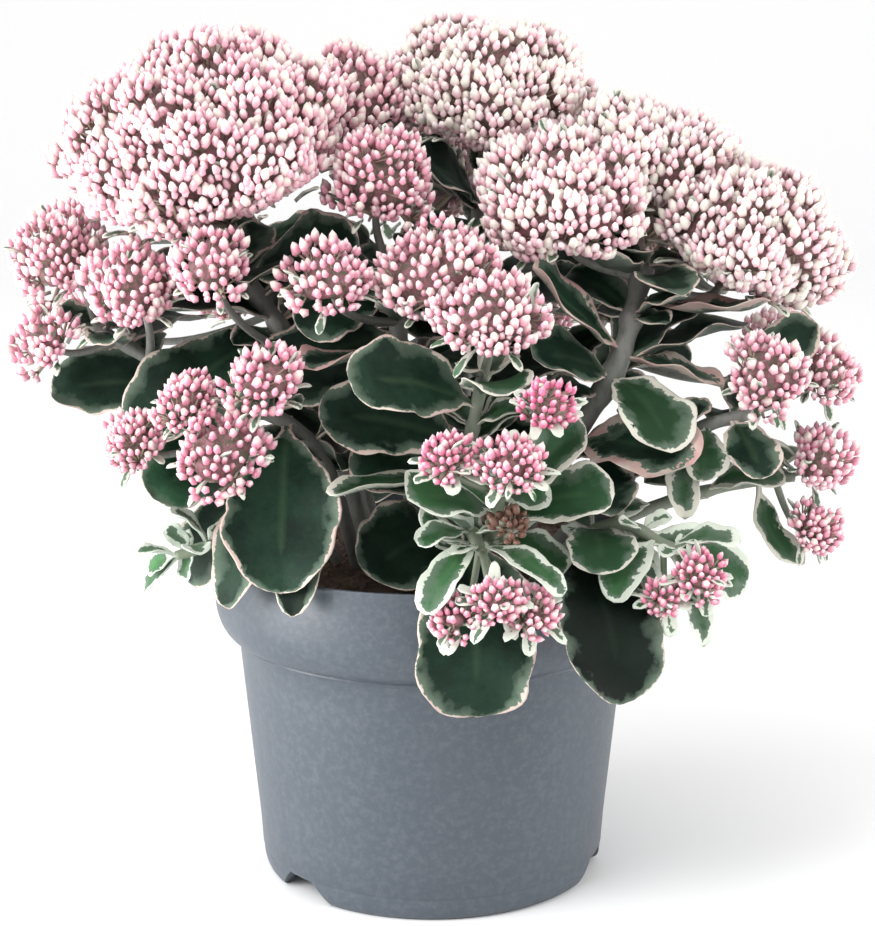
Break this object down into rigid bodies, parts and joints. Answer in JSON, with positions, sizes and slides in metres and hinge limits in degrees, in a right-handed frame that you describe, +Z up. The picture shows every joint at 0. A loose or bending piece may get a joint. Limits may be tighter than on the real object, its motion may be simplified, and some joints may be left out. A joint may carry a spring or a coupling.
{
  "type": "potted stonecrop plant",
  "caption": "Stonecrop with cream-edged fleshy leaves and domed heads of pink and white buds, growing in a grey tapered nursery pot.",
  "frame": {"origin": "middle of the raised centre of the pot's base, on the ground", "axes": "+Z up, -Y towards the front that the picture shows, +X to its right"},
  "size_m": [0.3607, 0.3061, 0.372],
  "materials": {
    "pot": "matte moulded plastic, mid grey",
    "soil": "loose granular potting soil, reddish brown",
    "leafy_shoot": "fleshy blue-green leaves with thin cream and pink margins, waxy bloom",
    "young_shoot": "fresh green leaves with broad white margins",
    "buds": "small closed buds, deep pink at the base to near white at the tip",
    "faded_buds": "dry brown buds"
  },
  "bodies": {
    "root": {"pot": "pot", "soil": "soil", "shoot_leftTall": "leafy_shoot", "shoot_farLeft": "leafy_shoot", "shoot_lowLeft": "leafy_shoot", "shoot_middle": "leafy_shoot", "shoot_back": "leafy_shoot", "shoot_rightTall": "leafy_shoot", "shoot_farRight": "leafy_shoot", "shoot_lowRight": "leafy_shoot", "shoot_front": "leafy_shoot", "shoot_frontSmall": "leafy_shoot", "shoot_rim": "leafy_shoot", "shoot_rimRight": "leafy_shoot", "shoot_sprout": "young_shoot", "shoot_backLeft": "leafy_shoot", "shoot_backMid": "leafy_shoot", "shoot_backRight": "leafy_shoot", "shoot_backLow": "leafy_shoot", "headLeft": "buds", "headLeftBack": "buds", "headMiddle": "buds", "headMiddleLow": "buds", "headInnerLeft": "buds", "headBack": "buds", "headRightInner": "buds", "headRight": "buds", "headRightTop": "buds", "headFront": "buds", "headFarLeft": "buds", "headFarLeftLow": "buds", "headFarLeftInner": "buds", "headLeftUnder": "buds", "headLowLeftTop": "buds", "headLowLeftUpper": "buds", "headLowLeftFront": "buds", "headLowLeftOuter": "buds", "headFarRight": "buds", "headFarRightOuter": "buds", "headLowRight": "buds", "headLowRightUnder": "buds", "headFrontLeft": "buds", "headFrontMid": "buds", "headFrontRight": "buds", "headFaded": "faded_buds", "headRimLeft": "buds", "headRimMid": "buds", "headRimRight": "buds", "headSide": "buds", "headSideSmall": "buds", "headBackLeft": "buds", "headBackMid": "buds", "headBackRight": "buds", "headBackSideLeft": "buds", "headBackLowLeft": "buds", "headBackLow": "buds", "headBackSideRight": "buds", "headBackInner": "buds"}
  },
  "joints": []
}
